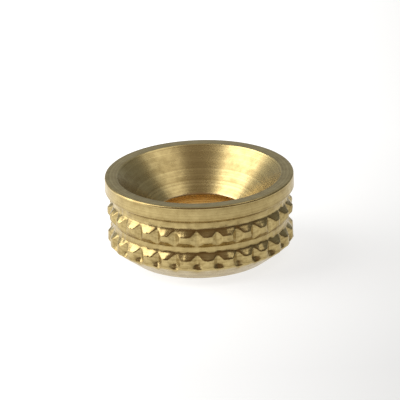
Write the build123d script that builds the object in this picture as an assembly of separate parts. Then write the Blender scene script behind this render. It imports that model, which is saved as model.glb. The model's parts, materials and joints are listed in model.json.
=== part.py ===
"""Screw cup socket: one turned brass cup with a countersunk seat and two fluted grip rings.

Millimetres, +Z up. The origin is the centre of the underside, on the bore axis.
"""
import os
from math import radians, tan

from build123d import *

# Overall
rim_radius = 6.0            # outside of the plain band, the widest part of the cup
cup_height = 5.4

# Screw seat: a clearance bore under a flat-sided countersink
bore_radius = 2.75          # passes a 5 mm countersunk wood screw
seat_mouth_radius = 5.23
seat_angle = 90.0           # included angle of the screw head

# Plain band at the top
band_height = 0.92
rim_rounding = 0.12         # top outer edge
mouth_rounding = 0.06       # edge between the flat rim and the seat
band_edge_rounding = 0.05   # lower edge of the band

# Two grip rings with a groove above each
ring_crest_gap = 0.115      # how far the crests stand inside the band
groove_depth = 0.385        # from a ring's crest to the floor of the groove
band_underside_drop = 0.30  # height of the slope under the band
upper_groove_floor = 0.40   # width of each groove's floor
lower_groove_floor = 0.33
ring_bevel_drop = 0.46      # height of the slope on top of each ring
ring_underside_drop = 0.40  # height of the slope under the upper ring
upper_ring_width = 0.40     # width of the crest
lower_ring_width = 0.63

# Underside: a cone tapers from the lower ring to the flat base
base_radius = 4.4
base_rounding = 0.08
bore_edge_break = 0.1

# Flutes, cut straight down over both rings
flute_count = 27
flute_depth = 0.30
flute_angle = 105.0         # included angle of the V
flute_root_radius = 0.07
runout_length = 0.32        # height over which a flute fades out at the lower ring's end
runout_lip = 0.16           # depth left where it meets the cone
first_flute_angle = -93.4   # direction of one flute, from +X


def ring_levels():
    """Corners down the outside, from the band's lower edge to the lower ring's lower edge."""
    crest_radius = rim_radius - ring_crest_gap
    floor_radius = crest_radius - groove_depth
    band_bottom = cup_height - band_height
    upper_floor_top = band_bottom - band_underside_drop
    upper_floor_bottom = upper_floor_top - upper_groove_floor
    upper_crest_top = upper_floor_bottom - ring_bevel_drop
    upper_crest_bottom = upper_crest_top - upper_ring_width
    lower_floor_top = upper_crest_bottom - ring_underside_drop
    lower_floor_bottom = lower_floor_top - lower_groove_floor
    lower_crest_top = lower_floor_bottom - ring_bevel_drop
    lower_crest_bottom = lower_crest_top - lower_ring_width
    return [
        (rim_radius, band_bottom),
        (floor_radius, upper_floor_top),
        (floor_radius, upper_floor_bottom),
        (crest_radius, upper_crest_top),
        (crest_radius, upper_crest_bottom),
        (floor_radius, lower_floor_top),
        (floor_radius, lower_floor_bottom),
        (crest_radius, lower_crest_top),
        (crest_radius, lower_crest_bottom),
    ]


def turned_blank():
    """The cup as it comes off the lathe, before the flutes are rolled in."""
    seat_depth = (seat_mouth_radius - bore_radius) / tan(radians(seat_angle / 2))
    outline = [
        (bore_radius + bore_edge_break, 0.0),
        (bore_radius, bore_edge_break),
        (bore_radius, cup_height - seat_depth),
        (seat_mouth_radius, cup_height),
        (rim_radius, cup_height),
    ]
    outline += ring_levels()
    outline.append((base_radius, 0.0))
    section = make_face(Plane.XZ * Polyline(*outline, close=True))

    def corner(radius, height):
        return section.vertices().sort_by_distance(Vector(radius, 0, height))[0]

    roundings = [
        (rim_radius, cup_height, rim_rounding),
        (seat_mouth_radius, cup_height, mouth_rounding),
        (rim_radius, cup_height - band_height, band_edge_rounding),
        (base_radius, 0.0, base_rounding),
    ]
    for radius, height, rounding in roundings:
        section = fillet(corner(radius, height), rounding)
    return revolve(section, Axis.Z)


def flute_section(root, level):
    """One flute's cross-section: a V with a rounded root, open outwards along +X."""
    reach = rim_radius + 1.0 - root
    half_width = reach * tan(radians(flute_angle / 2))
    v_shape = Polyline((root, 0), (root + reach, half_width), (root + reach, -half_width), close=True)
    face = make_face(Plane.XY.offset(level) * v_shape)
    tip = face.vertices().sort_by(Axis.X)[0]
    return fillet(tip, flute_root_radius)


def flute_cutter():
    """A straight V over both rings that leans outwards at its lower end."""
    levels = ring_levels()
    crest_radius = rim_radius - ring_crest_gap
    cutter_top = levels[1][1]
    lower_end = levels[-1][1]
    root = crest_radius - flute_depth
    runout_top = lower_end + runout_length
    straight = extrude(flute_section(root, runout_top), cutter_top - runout_top)
    shift = flute_depth - runout_lip
    lean = Vector(shift, 0, -runout_length)
    overrun = 2.0
    runout = extrude(flute_section(root, runout_top), overrun * lean.length, dir=lean)
    return straight + runout


def fluted_cup():
    cutter = flute_cutter()
    step = 360.0 / flute_count
    cutters = [Rot(0, 0, first_flute_angle + step * index) * cutter for index in range(flute_count)]
    return turned_blank() - cutters


os.makedirs("parts", exist_ok=True)
cup = fluted_cup()
cup.label = "screw_cup"
export_step(cup, "parts/screw_cup.step")
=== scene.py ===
import json
from math import cos, pi, radians, sin, tan

import bpy
import numpy as np
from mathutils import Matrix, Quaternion, Vector


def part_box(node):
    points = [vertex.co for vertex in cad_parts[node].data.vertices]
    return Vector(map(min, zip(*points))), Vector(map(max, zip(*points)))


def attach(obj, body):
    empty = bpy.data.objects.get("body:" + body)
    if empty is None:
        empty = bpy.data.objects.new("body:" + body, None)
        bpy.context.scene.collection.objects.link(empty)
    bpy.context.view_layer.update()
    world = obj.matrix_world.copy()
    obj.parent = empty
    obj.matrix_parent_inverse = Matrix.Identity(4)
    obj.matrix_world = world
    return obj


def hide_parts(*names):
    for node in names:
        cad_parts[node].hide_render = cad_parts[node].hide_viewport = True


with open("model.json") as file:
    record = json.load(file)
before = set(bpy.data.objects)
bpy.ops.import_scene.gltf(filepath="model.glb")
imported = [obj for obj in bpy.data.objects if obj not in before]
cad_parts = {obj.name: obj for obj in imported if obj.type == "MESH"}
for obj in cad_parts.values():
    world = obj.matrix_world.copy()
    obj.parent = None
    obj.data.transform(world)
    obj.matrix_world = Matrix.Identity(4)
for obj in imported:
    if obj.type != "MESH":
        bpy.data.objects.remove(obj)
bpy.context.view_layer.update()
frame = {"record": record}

# ---------------------------------------------------------------- the cup
# One cup turned from free-cutting brass bar: a plain band at the top, two grip rings
# below it, a countersunk seat and a clearance bore. The flutes are rolled into the rings
# by a wheel, so their edges are slightly raised and no two teeth are quite alike.

MM = 0.001
low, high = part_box("screw_cup")
rim_radius = high[0] / MM
height = high[2] / MM
bore = next(m for m in frame["record"]["mounts"] if m["name"] == "screw_bore")
bore_radius = bore["dims"]["r_mm"]

seat_mouth_radius = 5.23
band_height = 0.92
crest_radius = rim_radius - 0.115
groove_depth = 0.385
band_underside_drop = 0.30
upper_groove_floor = 0.40
lower_groove_floor = 0.33
ring_bevel_drop = 0.46
ring_underside_drop = 0.40
upper_ring_width = 0.40
lower_ring_width = 0.63
base_radius = 4.4
edge_rounding = 0.045        # how far each turned edge is broken
rim_rounding = 0.12
mouth_rounding = 0.06
base_rounding = 0.08
bore_break = 0.1
foot_ease = 0.08             # soft corner where a groove's floor turns into the bevel
foot_rise = 0.035

flute_count = 27
flute_depth = 0.30
flute_angle = radians(105)
root_softness = 0.06
shoulder_softness = 0.09    # the rolled shoulders flare out instead of ending in a corner
runout_length = 0.32
runout_lip = 0.16
runout_width = 0.33          # the metal piled up at the end of a flute fills only its root
first_flute = radians(-93.4)
tooth_crown = 0.26           # how far each tooth falls away towards its flutes
burr_height = 0.036
burr_width = 0.06
dent_depth = 0.012           # unevenness of the rolled surfaces
dent_size = 0.30

band_bottom = height - band_height
floor_radius = crest_radius - groove_depth
upper_floor_top = band_bottom - band_underside_drop
upper_floor_bottom = upper_floor_top - upper_groove_floor
upper_crest_top = upper_floor_bottom - ring_bevel_drop
upper_crest_bottom = upper_crest_top - upper_ring_width
lower_floor_top = upper_crest_bottom - ring_underside_drop
lower_floor_bottom = lower_floor_top - lower_groove_floor
lower_crest_top = lower_floor_bottom - ring_bevel_drop
lower_crest_bottom = lower_crest_top - lower_ring_width

outside = [
    (0.0, base_radius),
    (lower_crest_bottom, crest_radius),
    (lower_crest_top, crest_radius),
    (lower_floor_bottom - foot_ease, floor_radius + foot_rise),
    (lower_floor_bottom + foot_ease, floor_radius),
    (lower_floor_top, floor_radius),
    (upper_crest_bottom, crest_radius),
    (upper_crest_top, crest_radius),
    (upper_floor_bottom - foot_ease, floor_radius + foot_rise),
    (upper_floor_bottom + foot_ease, floor_radius),
    (upper_floor_top, floor_radius),
    (band_bottom, rim_radius),
    (height, rim_radius),
]


def turned_radius(level):
    """Radius of the outside at a level, with every edge slightly rounded as a tool leaves it."""
    offsets = np.linspace(-2, 2, 17)
    weights = np.exp(-offsets ** 2)
    levels, radii = zip(*outside)
    spread = np.interp(np.add.outer(level, offsets * edge_rounding), levels, radii)
    return spread @ (weights / weights.sum())


def outside_levels():
    """Levels of the mesh rows up the outside, close together where the outline or a flute bends."""
    beside_corner = (-0.07, -0.035, 0.0, 0.035, 0.07)
    up_runout = (0.1, 0.15, 0.2, 0.25, 0.3, 0.36, 0.42)
    ring_gap = 0.052
    plain_gap = 0.3
    picks = {round(base_rounding, 4), round(height - rim_rounding, 4)}
    for level, _ in outside[1:-1]:
        picks.update(round(level + step, 4) for step in beside_corner)
    picks.update(round(lower_crest_bottom + step, 4) for step in up_runout)
    levels = sorted(picks)
    filled = []
    for start, end in zip(levels, levels[1:]):
        gap = ring_gap if lower_crest_bottom < start < band_bottom else plain_gap
        pieces = max(1, int(np.ceil((end - start) / gap)))
        filled += [start + (end - start) * index / pieces for index in range(pieces)]
    return np.array(filled + [levels[-1]])


def soft_least(a, b, softness):
    """The smaller of two values, eased where they cross."""
    return (a + b - np.sqrt((a - b) ** 2 + softness ** 2)) / 2


rng = np.random.default_rng(27)
flute_turn = rng.normal(0.0, radians(0.35), flute_count)
flute_sink = rng.normal(1.0, 0.07, flute_count)
flute_burr = rng.uniform(0.2, 1.5, (2, flute_count))


def fluted_radius(angle, level):
    """Radius of the outside once the flutes are in, on a grid of angles and levels."""
    blank = np.broadcast_to(turned_radius(level)[:, None], (len(level), len(angle)))
    pitch = 2 * pi / flute_count
    place = (angle - first_flute) / pitch
    index = np.round(place).astype(int) % flute_count
    nearest = (place - np.round(place)) * pitch - flute_turn[index]
    side = (nearest > 0).astype(int)
    depth = flute_depth * flute_sink[index]
    across = np.abs(nearest) * crest_radius
    wall = np.sqrt((across / tan(flute_angle / 2)) ** 2 + root_softness ** 2) - root_softness
    fade = np.clip((lower_crest_bottom + runout_length - level) / runout_length, 0, 3)
    tongue = np.exp(-(across / runout_width) ** 2)
    rise = fade[:, None] * (flute_depth - runout_lip) * tongue[None, :]
    flute = crest_radius - depth[None, :] + wall[None, :] + rise
    no_flute = rim_radius + 1.0
    flute = np.where(level[:, None] > band_bottom - band_underside_drop, no_flute, flute)
    near_crest = np.clip((blank - floor_radius) / groove_depth, 0, 1) ** 2
    share = np.clip(across / (pitch / 2 * crest_radius), 0, 1)
    crowned = blank - tooth_crown * (np.minimum(1 - share, 0.45) ** 2)[None, :] * near_crest
    cut = soft_least(crowned, flute, shoulder_softness)
    shoulder = np.exp(-((crowned - flute) / burr_width) ** 2)
    burr = burr_height * flute_burr[side, index][None, :] * shoulder * near_crest
    return np.where(flute > rim_radius, blank, cut + burr), flute < blank


def dents(angle, level):
    """Small smooth unevenness, in millimetres, that closes on itself all the way round."""
    around = int(round(2 * pi * crest_radius / dent_size))
    knot_rows = 14
    knots = rng.normal(0.0, 1.0, (knot_rows, around))
    knots = np.concatenate([knots, knots[:, :1]], axis=1)
    column = angle / (2 * pi) * around
    row = np.clip((level - lower_crest_bottom) / dent_size, 0, knot_rows - 1.01)
    left, top = column.astype(int), row.astype(int)
    across, down = column - left, (row - top)[:, None]
    across = across * across * (3 - 2 * across)
    down = down * down * (3 - 2 * down)
    upper = knots[top][:, left] * (1 - across) + knots[top][:, left + 1] * across
    lower = knots[top + 1][:, left] * (1 - across) + knots[top + 1][:, left + 1] * across
    return dent_depth * (upper * (1 - down) + lower * down)


columns_per_flute = 26
column_count = flute_count * columns_per_flute
angles = np.arange(column_count) * 2 * pi / column_count
levels = outside_levels()
side_radius, in_flute = fluted_radius(angles, levels)
on_rings = (levels > lower_crest_bottom) & (levels < band_bottom - band_underside_drop)
side_radius += dents(angles, levels) * on_rings[:, None]


def arc(centre_radius, centre_level, size, start, end, steps):
    """Points of a rounded edge, from one direction to another."""
    turns = np.radians(np.linspace(start, end, steps))
    return [(centre_radius + size * cos(turn), centre_level + size * sin(turn)) for turn in turns]


def plain_rows():
    """The rows that are simply turned: over the rim, down the seat, through the bore, under the base."""
    seat_depth = seat_mouth_radius - bore_radius
    seat_foot = height - seat_depth
    rim_radii = (5.7, 5.5, 5.35)
    seat_shares = (0.03, 0.25, 0.5, 0.75, 0.97)
    bore_levels = (2.0, 1.0)
    base_radii = (3.3, 3.9, 4.25)
    beside_edge = 0.02           # the nearest row to a broken edge
    edge_cut = 0.01              # how far a broken edge stands back from its corner
    rows = arc(rim_radius - rim_rounding, height - rim_rounding, rim_rounding, 15, 90, 6)
    rows += [(radius, height) for radius in rim_radii]
    rows += arc(seat_mouth_radius + mouth_rounding * 0.4, height - mouth_rounding, mouth_rounding, 90, 135, 4)
    rows += [(seat_mouth_radius - share * seat_depth, height - share * seat_depth) for share in seat_shares]
    rows += [(bore_radius + edge_cut, seat_foot + edge_cut / 2), (bore_radius, seat_foot - 3 * edge_cut)]
    rows += [(bore_radius, level) for level in bore_levels]
    rows.append((bore_radius, bore_break + beside_edge))
    rows.append((bore_radius + edge_cut, bore_break - beside_edge))
    rows.append((bore_radius + bore_break - beside_edge, 0.012))
    rows.append((bore_radius + bore_break + beside_edge, 0.0))
    rows += [(radius, 0.0) for radius in base_radii]
    rows += arc(base_radius - base_rounding * 0.4, base_rounding, base_rounding, 270, 310, 5)
    return rows


rows = plain_rows()
ring_x, ring_y = np.cos(angles), np.sin(angles)
points = []
marks = []
for row, level in enumerate(levels):
    radius = side_radius[row]
    points.append(np.stack([radius * ring_x, radius * ring_y, np.full(column_count, level)], axis=1))
    marks.append(in_flute[row].astype(float))
for radius, level in rows:
    points.append(np.stack([radius * ring_x, radius * ring_y, np.full(column_count, level)], axis=1))
    marks.append(np.zeros(column_count))
points = np.concatenate(points) * MM
row_count = len(levels) + len(rows)
faces = []
for row in range(row_count):
    above = (row + 1) % row_count
    for column in range(column_count):
        beside = (column + 1) % column_count
        faces.append((row * column_count + column, row * column_count + beside,
                      above * column_count + beside, above * column_count + column))
cup_mesh = bpy.data.meshes.new("screw_cup_body")
cup_mesh.from_pydata(points.tolist(), [], faces)
cup_mesh.polygons.foreach_set("use_smooth", [True] * len(faces))
fluted = cup_mesh.attributes.new("fluted", "FLOAT", "POINT")
fluted.data.foreach_set("value", np.concatenate(marks))
cup_mesh.update()
cup = bpy.data.objects.new("screw_cup_body", cup_mesh)
bpy.context.scene.collection.objects.link(cup)


def linear(hex_colour):
    """An sRGB hex colour as linear red, green, blue and alpha."""
    parts = [int(hex_colour[start:start + 2], 16) / 255 for start in (1, 3, 5)]
    return [part / 12.92 if part <= 0.04045 else ((part + 0.055) / 1.055) ** 2.4 for part in parts] + [1.0]


def add(tree, kind, settings=None, inputs=None):
    """Adds a node, sets its properties, and sets or links its inputs."""
    node = tree.nodes.new(kind)
    for name, value in (settings or {}).items():
        setattr(node, name, value)
    for name, value in (inputs or {}).items():
        if isinstance(value, bpy.types.NodeSocket):
            tree.links.new(value, node.inputs[name])
        else:
            node.inputs[name].default_value = value
    return node


def turned_brass():
    """Bare turned brass: fine rings from the tool, and a patchy bloom that is duller where it is thick."""
    material = bpy.data.materials.new("turned_free_cutting_brass")
    material.use_nodes = True
    tree = material.node_tree
    tree.nodes.clear()
    place = add(tree, "ShaderNodeTexCoord")
    split = add(tree, "ShaderNodeSeparateXYZ", inputs={"Vector": place.outputs["Object"]})
    flat = add(tree, "ShaderNodeCombineXYZ", inputs={"X": split.outputs["X"], "Y": split.outputs["Y"]})
    radius = add(tree, "ShaderNodeVectorMath", {"operation": "LENGTH"}, {0: flat.outputs["Vector"]})
    lathe = add(tree, "ShaderNodeCombineXYZ", inputs={"X": radius.outputs["Value"], "Y": split.outputs["Z"]})
    # tool marks every 0.15 mm, drawn several times coarser than real ones so that they show
    feed = add(tree, "ShaderNodeTexNoise", {"noise_dimensions": "2D"},
               {"Vector": lathe.outputs["Vector"], "Scale": 1 / 0.00015, "Detail": 2.0, "Roughness": 0.65})
    # bloom in patches of about 0.6 mm
    bloom = add(tree, "ShaderNodeTexNoise", {},
                {"Vector": place.outputs["Object"], "Scale": 1 / 0.0006, "Detail": 4.0, "Roughness": 0.6})
    wear = add(tree, "ShaderNodeMath", {"operation": "MULTIPLY_ADD"},
               {0: feed.outputs["Fac"], 1: 1.3, 2: bloom.outputs["Fac"]})
    tone = add(tree, "ShaderNodeMapRange", inputs={
        "Value": wear.outputs["Value"], "From Min": 0.85, "From Max": 1.45})
    colour = add(tree, "ShaderNodeMix", {"data_type": "RGBA"}, {"Factor": tone.outputs["Result"]})
    colour.inputs["A"].default_value = linear("#9F8A5A")
    colour.inputs["B"].default_value = linear("#C2AE79")
    # painted light: the bore's wall is drawn brighter and yellower than the rest, standing in for the light
    # that reaches into the bore
    bore_painted_light = add(tree, "ShaderNodeMapRange", inputs={
        "Value": radius.outputs["Value"], "From Min": 0.00278, "From Max": 0.00286})
    metal = add(tree, "ShaderNodeMix", {"data_type": "RGBA"}, {"Factor": bore_painted_light.outputs["Result"]})
    metal.inputs["A"].default_value = linear("#D8BE8C")
    tree.links.new(colour.outputs["Result"], metal.inputs["B"])
    dull = add(tree, "ShaderNodeMapRange", inputs={
        "Value": bloom.outputs["Fac"], "From Min": 0.3, "From Max": 0.7, "To Min": 0.30, "To Max": 0.20})
    rolled = add(tree, "ShaderNodeAttribute", {"attribute_name": "fluted"})
    roughness = add(tree, "ShaderNodeMath", {"operation": "MULTIPLY_ADD"},
                    {0: rolled.outputs["Fac"], 1: 0.06, 2: dull.outputs["Result"]})
    bump = add(tree, "ShaderNodeBump", inputs={
        "Height": wear.outputs["Value"], "Strength": 0.38, "Distance": 0.00001})
    tangent = add(tree, "ShaderNodeTangent", {"direction_type": "RADIAL", "axis": "Z"})
    shader = add(tree, "ShaderNodeBsdfPrincipled", inputs={
        "Base Color": metal.outputs["Result"], "Metallic": 1.0, "Roughness": roughness.outputs["Value"],
        "Anisotropic": 0.6, "Normal": bump.outputs["Normal"], "Tangent": tangent.outputs["Tangent"]})
    add(tree, "ShaderNodeOutputMaterial", inputs={"Surface": shader.outputs["BSDF"]})
    return material


cup_mesh.materials.append(turned_brass())
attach(cup, "root")
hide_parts("screw_cup")

# ---------------------------------------------------------------- the floor
# A plain white sheet under the cup, with painted light: it glows a little though it is no lamp,
# so that the cup casts only a faint shadow.

floor_mesh = bpy.data.meshes.new("floor")
floor_half = 0.6
floor_mesh.from_pydata([(-floor_half, -floor_half, 0), (floor_half, -floor_half, 0),
                        (floor_half, floor_half, 0), (-floor_half, floor_half, 0)], [], [(0, 1, 2, 3)])
floor = bpy.data.objects.new("floor", floor_mesh)
floor.location.z = low[2] - 0.00001
bpy.context.scene.collection.objects.link(floor)
paper = bpy.data.materials.new("white_floor_with_painted_glow")
paper.use_nodes = True
sheet = paper.node_tree.nodes["Principled BSDF"]
sheet.inputs["Base Color"].default_value = linear("#9A9A98")
sheet.inputs["Roughness"].default_value = 0.9
# painted light: the glow is a little stronger away from the camera and on the left
sheet.inputs["Emission Color"].default_value = (1, 1, 1, 1)
spot = add(paper.node_tree, "ShaderNodeTexCoord")
along = add(paper.node_tree, "ShaderNodeSeparateXYZ", inputs={"Vector": spot.outputs["Object"]})
glow = add(paper.node_tree, "ShaderNodeMapRange", inputs={
    "Value": along.outputs["Y"], "From Min": -0.02, "From Max": 0.02, "To Min": 0.58, "To Max": 0.78})
aside = add(paper.node_tree, "ShaderNodeMapRange", inputs={
    "Value": along.outputs["X"], "From Min": -0.014, "From Max": 0.014, "To Min": 1.55, "To Max": 0.90})
shine = add(paper.node_tree, "ShaderNodeMath", {"operation": "MULTIPLY"},
            {0: glow.outputs["Result"], 1: aside.outputs["Result"]})
paper.node_tree.links.new(shine.outputs["Value"], sheet.inputs["Emission Strength"])
floor_mesh.materials.append(paper)

# ---------------------------------------------------------------- light and camera


lamp_distance = 0.5


def softbox(name, azimuth, elevation, width, depth, radiance):
    """A soft rectangular light that faces the cup. Azimuth 0 is the camera's side, 90 the right."""
    data = bpy.data.lights.new(name, "AREA")
    data.shape = "RECTANGLE"
    data.size, data.size_y = width, depth
    data.energy = radiance * pi * width * depth
    lamp = bpy.data.objects.new(name, data)
    a, e = radians(azimuth), radians(elevation)
    lamp.location = Vector((sin(a) * cos(e), -cos(a) * cos(e), sin(e))) * lamp_distance
    lamp.rotation_mode = "QUATERNION"
    lamp.rotation_quaternion = lamp.location.to_track_quat("Z", "Y")
    bpy.context.scene.collection.objects.link(lamp)


softbox("left_softbox", azimuth=-94, elevation=34, width=0.42, depth=0.60, radiance=3.2)
softbox("right_softbox", azimuth=85, elevation=58, width=0.26, depth=0.26, radiance=1.15)

# the room: a dim warm wall on the camera's side, a paler neutral one behind, darker to the right
world = bpy.data.worlds.new("studio")
world.use_nodes = True
sky = world.node_tree
direction = add(sky, "ShaderNodeTexCoord")
toward = add(sky, "ShaderNodeSeparateXYZ", inputs={"Vector": direction.outputs["Generated"]})
behind = add(sky, "ShaderNodeMapRange", inputs={
    "Value": toward.outputs["Y"], "From Min": -0.75, "From Max": 0.6, "To Min": 0.0, "To Max": 1.0})
wall = add(sky, "ShaderNodeMix", {"data_type": "RGBA"}, {"Factor": behind.outputs["Result"]})
wall.inputs["A"].default_value = linear("#86705C")
wall.inputs["B"].default_value = linear("#B8BCBE")
overhead = add(sky, "ShaderNodeMapRange", inputs={
    "Value": toward.outputs["Z"], "From Min": 0.15, "From Max": 0.9, "To Min": 0.85, "To Max": 1.0})
sky.links.new(wall.outputs["Result"], sky.nodes["Background"].inputs["Color"])
shade = add(sky, "ShaderNodeMapRange", inputs={
    "Value": toward.outputs["X"], "From Min": 0.35, "From Max": 0.75, "To Min": 1.0, "To Max": 0.55})
dim = add(sky, "ShaderNodeMath", {"operation": "MULTIPLY"},
          {0: overhead.outputs["Result"], 1: shade.outputs["Result"]})
sky.links.new(dim.outputs["Value"], sky.nodes["Background"].inputs["Strength"])
bpy.context.scene.world = world

elevation = radians(21.35)
roll = radians(1.95)
distance = 0.6
frame_width = 25.35 * MM     # what the view spans at the cup
rim_aside = -0.063 * MM      # where the rim's centre sits, right of and above the middle of the view
rim_above = 1.692 * MM
camera_data = bpy.data.cameras.new("camera")
camera_data.sensor_width = 36
camera_data.lens = camera_data.sensor_width * distance / frame_width
camera_data.clip_start, camera_data.clip_end = 0.01, 5
camera = bpy.data.objects.new("camera", camera_data)
back = Vector((0, -cos(elevation), sin(elevation)))
camera.rotation_mode = "QUATERNION"
camera.rotation_quaternion = Quaternion(back, -roll) @ (-back).to_track_quat("-Z", "Y")
right = camera.rotation_quaternion @ Vector((1, 0, 0))
up = camera.rotation_quaternion @ Vector((0, 1, 0))
rim_centre = Vector((0, 0, height * MM))
camera.location = rim_centre + back * distance - right * rim_aside - up * rim_above
bpy.context.scene.collection.objects.link(camera)
bpy.context.scene.camera = camera
bpy.context.scene.view_settings.view_transform = "Standard"
